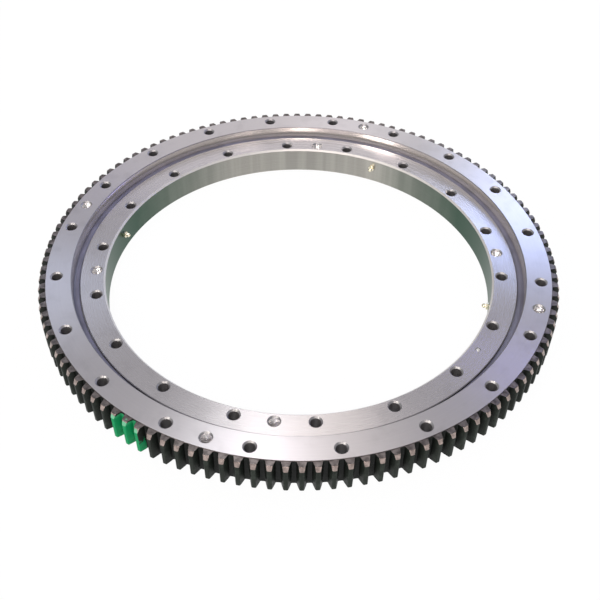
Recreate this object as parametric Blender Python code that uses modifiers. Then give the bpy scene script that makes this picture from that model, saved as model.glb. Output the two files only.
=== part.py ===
"""Slewing ring bearing with external gear teeth.

The toothed outer ring turns on one row of balls round the inner ring. The inner ring stands on the
ground plane with its axis on Z, and its lower face is at Z = 0. Sizes are in millimetres up to the point
where a mesh is made, and metres from there on.
"""

import math

import bmesh
import bpy
from mathutils import Matrix

MM = 0.001
WELD = 0.01 * MM  # points nearer than this are one

# Heights of the two rings
INNER_RING_HEIGHT = 42.0
OUTER_RING_HEIGHT = 45.5

# Widths, from the bore outwards
BORE_DIAMETER = 559.0
BORE_TO_BOLTS = 13.5
BOLTS_TO_BALLS = 27.0
BALLS_TO_BOLTS = 25.0
BOLTS_TO_TOOTH_ROOT = 15.6

# Gear
MODULE = 6.0
PRESSURE_ANGLE = math.radians(20.0)
ADDENDUM = 5.4  # stub teeth
DEDENDUM = 5.4
TOOTH_THINNING = 0.3  # backlash allowance on the pitch circle
ROOT_FILLET = 1.6
FIRST_TOOTH_ANGLE = math.radians(2.44)
TOOTH_END_STEP = 1.0  # the tooth ends lie below the ground face
STEP_TO_ROOT = 0.6  # from the ground face's edge out to the tooth root
TIP_BEVEL_DEPTH = 3.0
TIP_BEVEL_HEIGHT = 6.5

# Ball race
BALL_DIAMETER = 16.0
RACE_CLEARANCE = 0.4  # between a ball and the groove that it runs in
RACE_TO_SEAL = 1.35  # height left between the race and each seal groove
LAND_GAP = 4.0  # between the two rings beside the balls
CONTACT_ANGLE = math.radians(45.0)

# Cage
CAGE_SEGMENTS = 12
BALLS_PER_SEGMENT = 4
CAGE_THICKNESS = 2.4
CAGE_HEIGHT = 11.0
CAGE_END_GAP = 2.0

# Seals
UPPER_SEAL_DEPTH = 2.5  # from the inner ring's upper face down to the seal groove
LOWER_SEAL_RISE = 2.5  # from the outer ring's lower face up to the seal groove
SEAL_THICKNESS = 2.4
SEAL_GROOVE_DEPTH = 3.7
SEAL_BEAD = 1.3
SEAL_FIT = 0.3
LIP_CLEARANCE = 0.6
OUTER_RECESS = 2.3  # the outer ring's wall lies back from its land, beside the upper seal
INNER_RECESS = 3.0
INNER_FOOT_RECESS = 2.0

# Edges
BORE_UPPER_CHAMFER = 2.5
BORE_LOWER_CHAMFER = 1.0
EDGE_CHAMFER = 1.0

# Bolt holes
OUTER_HOLES = 20
OUTER_HOLE_DIAMETER = 14.0
OUTER_FIRST_HOLE = math.radians(98.75)
OUTER_TAPPED_AFTER = (3, 8, 13, 18)  # each lies halfway between this through hole and the next
INNER_HOLES = 18
INNER_HOLE_DIAMETER = 14.0
INNER_FIRST_HOLE = math.radians(94.45)
INNER_TAPPED_AFTER = (4, 8, 13, 17)
HOLE_CHAMFER = 2.0
TAPPED_DIAMETER = 13.8
TAPPED_DEPTH = 26.0

# Loading plug, through which the balls go in, and the taper pin that locks it
PLUG_AFTER = 11
PLUG_DIAMETER = 18.0
PLUG_FIT = 0.3
PIN_DIAMETER = 6.0
PIN_TAPER = 0.6
PIN_LENGTH = 30.0
PIN_FIT = 0.3

# Grease nipples, screwed into the bore
NIPPLES_AFTER = (-2, 3, 12)
NIPPLE_THREAD = 8.0
NIPPLE_SHANK = 7.0
NIPPLE_HEX = 9.0
NIPPLE_HEX_HEIGHT = 4.0
NIPPLE_NECK = 5.0
NIPPLE_HEAD = 6.6
NIPPLE_HEAD_BACK = 1.6
NIPPLE_TIP = 3.3
NIPPLE_REACH = 10.5
NIPPLE_FIT = 0.3
OIL_WAY = 4.0

# Number of flats that stand for a circle
RING_FLATS = 54
HOLE_FLATS = 8
PLUG_FLATS = 2 * HOLE_FLATS
HEXAGON = 6
BALL_MERIDIANS = 6
BALL_RINGS = 4
CAGE_FLATS = 5  # along one segment
SHARP_EDGE = math.radians(35.0)
OVERSHOOT = 6.0  # how far a cutter runs past the face that it cuts

# Radii and heights that follow
BORE_RADIUS = BORE_DIAMETER / 2
INNER_BOLT_CIRCLE = BORE_DIAMETER + 2 * BORE_TO_BOLTS
BALL_CIRCLE_DIAMETER = INNER_BOLT_CIRCLE + 2 * BOLTS_TO_BALLS
OUTER_BOLT_CIRCLE = BALL_CIRCLE_DIAMETER + 2 * BALLS_TO_BOLTS
BALL_CIRCLE = BALL_CIRCLE_DIAMETER / 2
BALL_RADIUS = BALL_DIAMETER / 2
RACE_RADIUS = BALL_RADIUS + RACE_CLEARANCE
SEAL_GROOVE_HEIGHT = SEAL_THICKNESS + 2 * SEAL_FIT
HALF_RACE = RACE_RADIUS + RACE_TO_SEAL + SEAL_GROOVE_HEIGHT  # race height to the far side of a groove
RING_OVERLAP = UPPER_SEAL_DEPTH + 2 * HALF_RACE + LOWER_SEAL_RISE  # height at which both rings stand
INNER_FACE_DROP = OUTER_RING_HEIGHT - RING_OVERLAP  # between the two upper faces
OUTER_TOP = INNER_RING_HEIGHT + INNER_FACE_DROP
OUTER_BOTTOM = OUTER_TOP - OUTER_RING_HEIGHT
UPPER_GROOVE_TOP = INNER_RING_HEIGHT - UPPER_SEAL_DEPTH
UPPER_GROOVE_BOTTOM = UPPER_GROOVE_TOP - SEAL_GROOVE_HEIGHT
LOWER_GROOVE_BOTTOM = OUTER_BOTTOM + LOWER_SEAL_RISE
LOWER_GROOVE_TOP = LOWER_GROOVE_BOTTOM + SEAL_GROOVE_HEIGHT
RACE_HEIGHT = UPPER_GROOVE_TOP - HALF_RACE
OUTER_LAND = BALL_CIRCLE + LAND_GAP / 2
INNER_LAND = BALL_CIRCLE - LAND_GAP / 2
OUTER_WALL = OUTER_LAND + OUTER_RECESS
INNER_WALL = INNER_LAND - INNER_RECESS
INNER_FOOT = INNER_LAND - INNER_FOOT_RECESS
TOOTH_COUNT = round((OUTER_BOLT_CIRCLE + 2 * (BOLTS_TO_TOOTH_ROOT + DEDENDUM)) / MODULE)
PITCH_RADIUS = TOOTH_COUNT * MODULE / 2
BASE_RADIUS = PITCH_RADIUS * math.cos(PRESSURE_ANGLE)
TIP_RADIUS = PITCH_RADIUS + ADDENDUM
ROOT_RADIUS = PITCH_RADIUS - DEDENDUM
FACE_RADIUS = ROOT_RADIUS - STEP_TO_ROOT
NIPPLE_SEAT = BORE_RADIUS * math.cos(math.pi / RING_FLATS)  # the flats of the bore lie this near the axis
INNER_HOLE_STEP = math.tau / INNER_HOLES
OUTER_HOLE_STEP = math.tau / OUTER_HOLES


def clear_scene():
    """Remove everything that the startup scene holds."""
    for thing in list(bpy.data.objects):
        bpy.data.objects.remove(thing, do_unlink=True)


def new_collection(name):
    group = bpy.data.collections.new(name)
    bpy.context.scene.collection.children.link(group)
    return group


def new_material(name, colour, metallic, roughness):
    material = bpy.data.materials.new(name)
    material.use_nodes = True
    shader = material.node_tree.nodes["Principled BSDF"]
    shader.inputs["Base Color"].default_value = (*colour, 1.0)
    shader.inputs["Metallic"].default_value = metallic
    shader.inputs["Roughness"].default_value = roughness
    material.diffuse_color = (*colour, 1.0)
    return material


def turned(name, profile, flats, group):
    """A solid of revolution about Z. The profile of (radius, height) runs down its outer side."""
    mesh = bpy.data.meshes.new(name)
    points = [(radius * MM, 0.0, height * MM) for radius, height in profile]
    open_on_axis = profile[0][0] == 0.0 and profile[-1][0] == 0.0
    edges = [(i, i + 1) for i in range(len(points) - 1)]
    if not open_on_axis:
        edges.append((len(points) - 1, 0))
    mesh.from_pydata(points, edges, [])
    body = bpy.data.objects.new(name, mesh)
    group.objects.link(body)
    screw = body.modifiers.new("Turn", "SCREW")
    screw.axis = "Z"
    screw.angle = math.tau
    screw.steps = flats
    screw.render_steps = flats
    screw.use_merge_vertices = True
    screw.merge_threshold = WELD
    screw.use_smooth_shade = False
    return body


def extruded(name, outline, bottom, top, group):
    """A flat outline of (x, y), made solid between two heights."""
    curve = bpy.data.curves.new(name, "CURVE")
    curve.dimensions = "2D"
    curve.fill_mode = "BOTH"
    curve.extrude = (top - bottom) / 2 * MM
    spline = curve.splines.new("POLY")
    spline.points.add(len(outline) - 1)
    for point, (x, y) in zip(spline.points, outline):
        point.co = (x * MM, y * MM, 0.0, 1.0)
    spline.use_cyclic_u = True
    drawn = bpy.data.objects.new(name + "_outline", curve)
    group.objects.link(drawn)
    drawn.location.z = (top + bottom) / 2 * MM
    bpy.context.view_layer.update()
    graph = bpy.context.evaluated_depsgraph_get()
    mesh = bpy.data.meshes.new_from_object(drawn.evaluated_get(graph))
    mesh.transform(drawn.matrix_world)
    weld_caps(mesh)
    body = bpy.data.objects.new(name, mesh)
    group.objects.link(body)
    bpy.data.objects.remove(drawn)
    return body


def weld_caps(mesh):
    work = bmesh.new()
    work.from_mesh(mesh)
    bmesh.ops.remove_doubles(work, verts=work.verts, dist=WELD)
    bmesh.ops.recalc_face_normals(work, faces=work.faces)
    work.to_mesh(mesh)
    work.free()


def as_cutter(body):
    """Keep a cutter or a guide out of the model."""
    body.hide_render = True
    body.display_type = "WIRE"
    return body


def boolean(body, operation, tools):
    """Join, cut or intersect the body with each of the tools."""
    for tool in tools:
        step = body.modifiers.new(tool.name, "BOOLEAN")
        step.operation = operation
        step.object = tool


def boolean_with_group(body, operation, group):
    step = body.modifiers.new(group.name, "BOOLEAN")
    step.operation = operation
    step.operand_type = "COLLECTION"
    step.collection = group


def settle(body, material):
    """Turn the modifiers into plain mesh, with round faces shaded smooth and corners left sharp."""
    bpy.context.view_layer.update()
    graph = bpy.context.evaluated_depsgraph_get()
    mesh = bpy.data.meshes.new_from_object(body.evaluated_get(graph))
    mesh.name = body.name
    mesh.materials.clear()
    mesh.materials.append(material)
    for face in mesh.polygons:
        face.material_index = 0
    mesh.shade_smooth()
    mesh.set_sharp_from_angle(angle=SHARP_EDGE)
    body.modifiers.clear()
    body.data = mesh
    return body


def involute(angle):
    return math.tan(angle) - angle


def half_tooth_angle(radius):
    """Half of the angle that a tooth fills at a radius, from the involute of the base circle."""
    thickness = math.pi * MODULE / 2 - TOOTH_THINNING
    at_pitch = thickness / (2 * PITCH_RADIUS)
    return at_pitch + involute(PRESSURE_ANGLE) - involute(math.acos(BASE_RADIUS / radius))


def polar(radius, angle):
    return radius * math.cos(angle), radius * math.sin(angle)


def gear_outline():
    """All teeth: the floor of the gap before each one, then fillet, pitch point and tip on both flanks."""
    fillet_end = ROOT_RADIUS + ROOT_FILLET
    flank = [(radius, half_tooth_angle(radius)) for radius in (fillet_end, PITCH_RADIUS, TIP_RADIUS)]
    outline = []
    for tooth in range(TOOTH_COUNT):
        centre = FIRST_TOOTH_ANGLE + math.tau * tooth / TOOTH_COUNT
        outline.append(polar(ROOT_RADIUS, centre - math.pi / TOOTH_COUNT))
        outline += [polar(radius, centre - half) for radius, half in flank]
        outline += [polar(radius, centre + half) for radius, half in reversed(flank)]
    return outline


def race_profile(side):
    """The ball groove from top to bottom: side is +1 in the outer ring and -1 in the inner ring."""
    edge = math.acos(LAND_GAP / 2 / RACE_RADIUS)
    angles = (edge, CONTACT_ANGLE, 0.0, -CONTACT_ANGLE, -edge)
    return [
        (BALL_CIRCLE + side * RACE_RADIUS * math.cos(angle), RACE_HEIGHT + RACE_RADIUS * math.sin(angle))
        for angle in angles
    ]


def hole_cutter(name, circle, angle, diameter, top, bottom, group, blind=False):
    """A drill with a countersink at the upper face. It runs through unless it is blind."""
    radius = diameter / 2
    mouth = radius + HOLE_CHAMFER
    end = bottom if blind else bottom - OVERSHOOT
    profile = [
        (0.0, top + OVERSHOOT),
        (mouth + OVERSHOOT, top + OVERSHOOT),
        (radius, top - HOLE_CHAMFER),
        (radius, end),
        (0.0, end),
    ]
    cutter = as_cutter(turned(name, profile, HOLE_FLATS, group))
    cutter.location.x = circle / 2 * math.cos(angle) * MM
    cutter.location.y = circle / 2 * math.sin(angle) * MM
    cutter.rotation_euler.z = angle + math.pi / HOLE_FLATS
    return cutter


def inner_angle(after):
    """The angle halfway between one inner through hole and the next."""
    return INNER_FIRST_HOLE + (after + 0.5) * INNER_HOLE_STEP


def drill_outer_ring(group):
    for index in range(OUTER_HOLES):
        angle = OUTER_FIRST_HOLE + index * OUTER_HOLE_STEP
        hole_cutter(f"outer_hole_{index + 1}", OUTER_BOLT_CIRCLE, angle,
                    OUTER_HOLE_DIAMETER, OUTER_TOP, OUTER_BOTTOM, group)
    for index, after in enumerate(OUTER_TAPPED_AFTER):
        angle = OUTER_FIRST_HOLE + (after + 0.5) * OUTER_HOLE_STEP
        hole_cutter(f"outer_tapped_{index + 1}", OUTER_BOLT_CIRCLE, angle,
                    TAPPED_DIAMETER, OUTER_TOP, OUTER_TOP - TAPPED_DEPTH, group, blind=True)


def drill_inner_ring(group):
    for index in range(INNER_HOLES):
        angle = INNER_FIRST_HOLE + index * INNER_HOLE_STEP
        hole_cutter(f"inner_hole_{index + 1}", INNER_BOLT_CIRCLE, angle,
                    INNER_HOLE_DIAMETER, INNER_RING_HEIGHT, 0.0, group)
    for index, after in enumerate(INNER_TAPPED_AFTER):
        hole_cutter(f"inner_tapped_{index + 1}", INNER_BOLT_CIRCLE, inner_angle(after),
                    TAPPED_DIAMETER, INNER_RING_HEIGHT, INNER_RING_HEIGHT - TAPPED_DEPTH, group, blind=True)


def radial_cylinder(name, diameter, near, far, angle, flats, group):
    """A cylinder on a radius of the ring at race height, from one radius to another."""
    mesh = bpy.data.meshes.new(name)
    work = bmesh.new()
    bmesh.ops.create_cone(work, cap_ends=True, segments=flats, radius1=diameter / 2 * MM,
                          radius2=diameter / 2 * MM, depth=(far - near) * MM)
    lay_down = Matrix.Rotation(math.pi / 2, 4, "Y")
    bmesh.ops.transform(work, matrix=lay_down, verts=work.verts)
    work.to_mesh(mesh)
    work.free()
    body = bpy.data.objects.new(name, mesh)
    group.objects.link(body)
    middle = (near + far) / 2
    body.location = (middle * math.cos(angle) * MM, middle * math.sin(angle) * MM, RACE_HEIGHT * MM)
    body.rotation_euler.z = angle
    return body


def make_outer_ring(parts, cutters, steel):
    """The gear ring: teeth first, then the turned upper side, the race side and the bolt holes."""
    ring = extruded("outer_gear_ring", gear_outline(), OUTER_BOTTOM, OUTER_TOP, parts)

    end_face = OUTER_TOP - TOOTH_END_STEP
    to_flat = 1 / math.cos(math.pi / TOOTH_COUNT)
    slope = TIP_BEVEL_HEIGHT / TIP_BEVEL_DEPTH
    past_tip = TIP_RADIUS + OVERSHOOT
    end_profile = [
        (past_tip * to_flat, OUTER_TOP + OVERSHOOT),
        (past_tip * to_flat, end_face - slope * (TIP_BEVEL_DEPTH + OVERSHOOT)),
        ((TIP_RADIUS - TIP_BEVEL_DEPTH) * to_flat, end_face),
        (FACE_RADIUS * to_flat, end_face),
        (FACE_RADIUS * to_flat, OUTER_TOP + OVERSHOOT),
    ]
    end_cutter = as_cutter(turned("tooth_end_cutter", end_profile, TOOTH_COUNT, cutters))
    end_cutter.rotation_euler.z = FIRST_TOOTH_ANGLE + math.pi / TOOTH_COUNT

    race_side = [
        (0.0, OUTER_TOP + OVERSHOOT),
        (OUTER_WALL + EDGE_CHAMFER + OVERSHOOT, OUTER_TOP + OVERSHOOT),
        (OUTER_WALL, OUTER_TOP - EDGE_CHAMFER),
        (OUTER_WALL, UPPER_GROOVE_TOP),
        (OUTER_WALL + SEAL_GROOVE_DEPTH, UPPER_GROOVE_TOP),
        (OUTER_WALL + SEAL_GROOVE_DEPTH, UPPER_GROOVE_BOTTOM),
        (OUTER_LAND, UPPER_GROOVE_BOTTOM),
        *race_profile(1),
        (OUTER_LAND, OUTER_BOTTOM - OVERSHOOT),
        (0.0, OUTER_BOTTOM - OVERSHOOT),
    ]
    race_cutter = as_cutter(turned("outer_race_cutter", race_side, RING_FLATS, cutters))

    drills = new_collection("outer_ring_drills")
    drill_outer_ring(drills)
    boolean(ring, "DIFFERENCE", (race_cutter, end_cutter))
    boolean_with_group(ring, "DIFFERENCE", drills)
    return settle(ring, steel)


def inner_section():
    """The inner ring's section, down its outer side and up the bore."""
    return [
        (INNER_WALL - EDGE_CHAMFER, INNER_RING_HEIGHT),
        (INNER_WALL, INNER_RING_HEIGHT - EDGE_CHAMFER),
        (INNER_WALL, UPPER_GROOVE_BOTTOM),
        (INNER_LAND, UPPER_GROOVE_BOTTOM),
        *race_profile(-1),
        (INNER_LAND, LOWER_GROOVE_TOP),
        (INNER_FOOT - SEAL_GROOVE_DEPTH, LOWER_GROOVE_TOP),
        (INNER_FOOT - SEAL_GROOVE_DEPTH, LOWER_GROOVE_BOTTOM),
        (INNER_FOOT, LOWER_GROOVE_BOTTOM),
        (INNER_FOOT, 0.0),
        (BORE_RADIUS + BORE_LOWER_CHAMFER, 0.0),
        (BORE_RADIUS, BORE_LOWER_CHAMFER),
        (BORE_RADIUS, INNER_RING_HEIGHT - BORE_UPPER_CHAMFER),
        (BORE_RADIUS + BORE_UPPER_CHAMFER, INNER_RING_HEIGHT),
    ]


def make_inner_ring(parts, cutters, steel):
    """The fixed ring, drilled for bolts, grease nipples, the loading plug and its pin."""
    ring = turned("inner_ring", inner_section(), RING_FLATS, parts)
    drills = new_collection("inner_ring_drills")
    drill_inner_ring(drills)
    thread_end = BORE_RADIUS + NIPPLE_SHANK + NIPPLE_FIT
    for index, after in enumerate(NIPPLES_AFTER):
        as_cutter(radial_cylinder(f"nipple_bore_{index + 1}", NIPPLE_THREAD + 2 * NIPPLE_FIT,
                                  BORE_RADIUS - OVERSHOOT, thread_end, inner_angle(after),
                                  HOLE_FLATS, drills))
        as_cutter(radial_cylinder(f"oil_way_{index + 1}", OIL_WAY, BORE_RADIUS, BALL_CIRCLE,
                                  inner_angle(after), HOLE_FLATS, cutters))
    plug_bore = radial_cylinder("plug_bore", PLUG_DIAMETER + 2 * PLUG_FIT, BORE_RADIUS - OVERSHOOT,
                                BALL_CIRCLE, inner_angle(PLUG_AFTER), PLUG_FLATS, drills)
    as_cutter(plug_bore)
    pin_bore = pin_shape("pin_bore", PIN_FIT, OVERSHOOT, drills)
    as_cutter(pin_bore)
    boolean_with_group(ring, "DIFFERENCE", drills)
    oil_ways = [tool for tool in cutters.objects if tool.name.startswith("oil_way")]
    boolean(ring, "DIFFERENCE", oil_ways)
    return settle(ring, steel)


def pin_shape(name, fit, rise, group):
    """The taper pin, or its hole with a clearance, upright on the inner bolt circle."""
    top = INNER_RING_HEIGHT - PIN_FIT + rise
    bottom = INNER_RING_HEIGHT - PIN_LENGTH - fit
    upper = PIN_DIAMETER / 2 + fit
    lower = (PIN_DIAMETER - PIN_TAPER) / 2 + fit
    profile = [(0.0, top), (upper, top), (lower, bottom), (0.0, bottom)]
    pin = turned(name, profile, HOLE_FLATS, group)
    x, y = polar(INNER_BOLT_CIRCLE / 2, inner_angle(PLUG_AFTER))
    pin.location = (x * MM, y * MM, 0.0)
    return pin


def make_loading_plug(parts, cutters, steel):
    """A round plug that carries its own piece of the race and of the bore wall."""
    plug = radial_cylinder("loading_plug", PLUG_DIAMETER, BORE_RADIUS - OVERSHOOT, BALL_CIRCLE,
                           inner_angle(PLUG_AFTER), PLUG_FLATS, parts)
    ring_form = as_cutter(turned("plug_form", inner_section(), RING_FLATS, cutters))
    pin_hole = as_cutter(pin_shape("plug_pin_hole", PIN_FIT, OVERSHOOT, cutters))
    boolean(plug, "INTERSECT", (ring_form,))
    boolean(plug, "DIFFERENCE", (pin_hole,))
    return settle(plug, steel)


def make_seals(parts, rubber):
    """Two rubber rings: each sits in a groove of one ring and its lip runs on the other."""
    back = OUTER_WALL + SEAL_GROOVE_DEPTH - SEAL_FIT
    low = UPPER_GROOVE_BOTTOM + SEAL_FIT
    high = UPPER_GROOVE_TOP - SEAL_FIT
    lip = INNER_WALL + LIP_CLEARANCE
    middle = (OUTER_WALL + INNER_WALL) / 2
    upper_section = [(back, high), (back, low), (lip, low), (lip, high - SEAL_FIT),
                     (middle, high + SEAL_BEAD), (OUTER_WALL - SEAL_FIT, high)]
    upper = turned("upper_seal", upper_section, RING_FLATS, parts)

    back = INNER_FOOT - SEAL_GROOVE_DEPTH + SEAL_FIT
    low = LOWER_GROOVE_BOTTOM + SEAL_FIT
    high = LOWER_GROOVE_TOP - SEAL_FIT
    lip = OUTER_LAND - LIP_CLEARANCE
    middle = (INNER_FOOT + OUTER_LAND) / 2
    lower_section = [(lip, high), (lip, low + SEAL_FIT), (middle, low - SEAL_BEAD),
                     (INNER_FOOT + SEAL_FIT, low), (back, low), (back, high)]
    lower = turned("lower_seal", lower_section, RING_FLATS, parts)
    return settle(upper, rubber), settle(lower, rubber)


def cage_outline():
    """One segment of the cage seen from above, centred on +X."""
    gap = CAGE_END_GAP / BALL_CIRCLE
    span = math.tau / CAGE_SEGMENTS - gap
    angles = [span * (index / CAGE_FLATS - 0.5) for index in range(CAGE_FLATS + 1)]
    outside = [polar(BALL_CIRCLE + CAGE_THICKNESS / 2, angle) for angle in angles]
    inside = [polar(BALL_CIRCLE - CAGE_THICKNESS / 2, angle) for angle in reversed(angles)]
    return outside + inside


def make_cage(parts, nylon):
    """Cage segments, each fused with the balls that it holds, because single balls are too many."""
    first = extruded("cage_segment_01", cage_outline(), RACE_HEIGHT - CAGE_HEIGHT / 2,
                     RACE_HEIGHT + CAGE_HEIGHT / 2, parts)
    ball_step = math.tau / CAGE_SEGMENTS / BALLS_PER_SEGMENT
    flat_outward = math.pi / BALL_MERIDIANS - math.pi / 2  # its meridians start on the Y axis
    balls = new_collection("balls")
    for index in range(BALLS_PER_SEGMENT):
        angle = (index - (BALLS_PER_SEGMENT - 1) / 2) * ball_step
        mesh = bpy.data.meshes.new(f"ball_{index + 1}")
        work = bmesh.new()
        bmesh.ops.create_uvsphere(work, u_segments=BALL_MERIDIANS, v_segments=BALL_RINGS,
                                  radius=BALL_RADIUS * MM)
        work.to_mesh(mesh)
        work.free()
        ball = bpy.data.objects.new(mesh.name, mesh)
        balls.objects.link(as_cutter(ball))
        x, y = polar(BALL_CIRCLE, angle)
        ball.location = (x * MM, y * MM, RACE_HEIGHT * MM)
        ball.rotation_euler.z = angle + flat_outward
    boolean_with_group(first, "UNION", balls)
    settle(first, nylon)
    segments = [first]
    for index in range(1, CAGE_SEGMENTS):
        segment = bpy.data.objects.new(f"cage_segment_{index + 1:02d}", first.data)
        parts.objects.link(segment)
        segment.rotation_euler.z = math.tau * index / CAGE_SEGMENTS
        segments.append(segment)
    return segments


def make_nipples(parts, cutters, brass):
    """Grease nipples that point at the ring's axis: shank, hexagon, neck and head."""
    flats_height = NIPPLE_FIT + NIPPLE_HEX_HEIGHT
    head_start = NIPPLE_REACH - NIPPLE_HEAD / 2
    profile = [
        (0.0, NIPPLE_REACH),
        (NIPPLE_TIP / 2, NIPPLE_REACH),
        (NIPPLE_HEAD / 2, head_start),
        (NIPPLE_NECK / 2, head_start - NIPPLE_HEAD_BACK),
        (NIPPLE_NECK / 2, flats_height - NIPPLE_FIT),
        (NIPPLE_THREAD / 2, flats_height / 2),
        (NIPPLE_THREAD / 2, -NIPPLE_SHANK),
        (0.0, -NIPPLE_SHANK),
    ]
    first = turned("grease_nipple_1", profile, HOLE_FLATS, parts)
    hexagon = bpy.data.meshes.new("nipple_hexagon")
    work = bmesh.new()
    corner = NIPPLE_HEX / 2 / math.cos(math.pi / HEXAGON) * MM
    bmesh.ops.create_cone(work, cap_ends=True, segments=HEXAGON, radius1=corner, radius2=corner,
                          depth=NIPPLE_HEX_HEIGHT * MM)
    rise = Matrix.Translation((0.0, 0.0, (NIPPLE_FIT + NIPPLE_HEX_HEIGHT / 2) * MM))
    bmesh.ops.transform(work, matrix=rise, verts=work.verts)
    work.to_mesh(hexagon)
    work.free()
    flats = as_cutter(bpy.data.objects.new("nipple_hexagon", hexagon))
    cutters.objects.link(flats)
    boolean(first, "UNION", (flats,))
    settle(first, brass)
    for index, after in enumerate(NIPPLES_AFTER):
        nipple = first
        if index:
            nipple = bpy.data.objects.new(f"grease_nipple_{index + 1}", first.data)
            parts.objects.link(nipple)
        angle = inner_angle(after)
        x, y = polar(NIPPLE_SEAT, angle)
        nipple.location = (x * MM, y * MM, RACE_HEIGHT * MM)
        nipple.rotation_euler = (0.0, -math.pi / 2, angle)


def main():
    clear_scene()
    parts = new_collection("slewing_ring_bearing")
    cutters = new_collection("cutters")
    steel = new_material("ground_steel", (0.62, 0.60, 0.60), 0.9, 0.35)
    rubber = new_material("seal_rubber", (0.05, 0.05, 0.09), 0.0, 0.5)
    nylon = new_material("cage_nylon", (0.55, 0.50, 0.38), 0.0, 0.5)
    brass = new_material("brass", (0.75, 0.62, 0.32), 1.0, 0.3)
    make_outer_ring(parts, cutters, steel)
    make_inner_ring(parts, cutters, steel)
    make_seals(parts, rubber)
    make_cage(parts, nylon)
    make_loading_plug(parts, cutters, steel)
    settle(pin_shape("plug_taper_pin", 0.0, 0.0, parts), steel)
    make_nipples(parts, cutters, brass)


main()
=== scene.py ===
"""Fine surfaces, finishes and studio for a slewing ring bearing with external gear teeth.

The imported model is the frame, in metres: the ring's axis is Z and the inner ring stands on Z = 0.
Each part is a closed surface worked out with numpy, and stands for the plain solid of the same part.
"""

import math

import bmesh
import bpy
import numpy as np
from mathutils import Matrix, Vector


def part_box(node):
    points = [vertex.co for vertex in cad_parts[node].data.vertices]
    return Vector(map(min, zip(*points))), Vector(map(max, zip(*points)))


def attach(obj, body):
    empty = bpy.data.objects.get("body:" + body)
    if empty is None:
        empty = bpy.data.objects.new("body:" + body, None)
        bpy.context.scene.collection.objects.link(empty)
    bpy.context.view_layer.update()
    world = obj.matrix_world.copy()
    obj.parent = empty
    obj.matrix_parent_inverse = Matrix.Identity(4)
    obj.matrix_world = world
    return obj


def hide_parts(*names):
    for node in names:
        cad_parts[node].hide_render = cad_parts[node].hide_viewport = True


bl_info = {
    "name": "Slewing ring bearing",
    "version": (1, 0, 0),
    "blender": (4, 5, 0),
    "location": "3D View > Sidebar > Slewing ring",
    "description": "Dresses a toothed slewing ring in fine surfaces and finishes",
    "category": "Object",
}

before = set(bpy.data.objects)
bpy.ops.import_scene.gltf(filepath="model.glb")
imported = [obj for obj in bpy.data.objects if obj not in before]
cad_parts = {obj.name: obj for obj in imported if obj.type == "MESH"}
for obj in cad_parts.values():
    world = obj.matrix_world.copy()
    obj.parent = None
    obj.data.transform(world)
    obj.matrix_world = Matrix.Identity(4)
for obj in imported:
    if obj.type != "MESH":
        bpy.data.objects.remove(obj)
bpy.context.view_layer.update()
_, INNER_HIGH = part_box("inner_ring")
OUTER_LOW, OUTER_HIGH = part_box("outer_gear_ring")
PIN_LOW, PIN_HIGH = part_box("plug_taper_pin")
INNER_TOP = INNER_HIGH[2]
OUTER_TOP = OUTER_HIGH[2]
OUTER_BOTTOM = OUTER_LOW[2]
RACE_HEIGHT = (INNER_TOP + OUTER_BOTTOM) / 2
PIN_RADIUS = (PIN_HIGH[0] - PIN_LOW[0]) / 2

MM = 0.001
WELD = 0.000002  # points nearer to each other become one
SHARP_EDGE = math.radians(28)  # edges that turn by more stay crisp
FINE = 12  # columns across the place of a hole, and rows across its face
COARSE = 4  # columns from one place to the next
RIM = 4 * FINE  # points round a hole
PATCH_ROWS = (0.0, 0.08, 0.35, 0.7, 1.0)  # from a hole's rim to the edge of its cell
WALL_ROWS = 6
THREAD_ROWS = 64
RACE_ROWS = 13
SEAL_ROWS = 9
SEAL_COLUMNS = 288
BALL_ROWS = 13
BALL_COLUMNS = 24
STRIP_ROWS = 17
FLOOR_COLUMNS = 96

TEETH = 122
PRESSURE_ANGLE = math.radians(20)
FILLET_POINTS = 4
FLANK_POINTS = 6
FIRST_TOOTH = math.radians(2.44)
PAINTED_TEETH = (78, 80)  # the first and the last of them

OUTER_FIRST_HOLE = math.radians(98.75)
INNER_FIRST_HOLE = math.radians(94.45)
OUTER_CELLS = 40  # a through hole in every second cell
INNER_CELLS = 36
OUTER_CELL_HALF = math.radians(2.86)
INNER_CELL_HALF = math.radians(3.1)
OUTER_TAPPED = (7, 17, 27, 37)
INNER_TAPPED = (9, 17, 27, 35)
PIN_CELL = 23
NIPPLE_CELLS = (33, 7, 25)
THREAD_PITCH = 2.0 * MM
THREAD_HEIGHT = 0.45 * THREAD_PITCH
DRILL_POINT = 2 * MM  # depth of the cone below a tapped hole
PIN_LENGTH = 11 * MM
PIN_BORE, PIN_BORE_DEPTH = PIN_RADIUS + 0.3 * MM, 12 * MM
PLUG_BORE, PLUG_BORE_DEPTH = 9.2 * MM, 9 * MM
PLUG_PROFILE = ((8.6, 0.0), (9.0, 0.4), (9.0, 8.5))  # radius and depth in millimetres

GROOVE_EDGE = 2.5 * MM  # from the end of a ring to its seal groove
GROOVE_HEIGHT = 3.0 * MM
SEAL_FIT = 0.3 * MM  # room between a seal and its groove
LIP_GAP = 0.6 * MM  # from a seal's lip to the other ring
LIP_DROP = 0.2 * MM
CROWN = 1.2 * MM  # how far the outer side of a seal swells
CAGE_HALF_WIDTH = 1.2 * MM
CAGE_HALF_HEIGHT = 5.5 * MM
CAGE_GAP = 2 * MM  # between the ends of two segments
BALLS_PER_SEGMENT = 4

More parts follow.
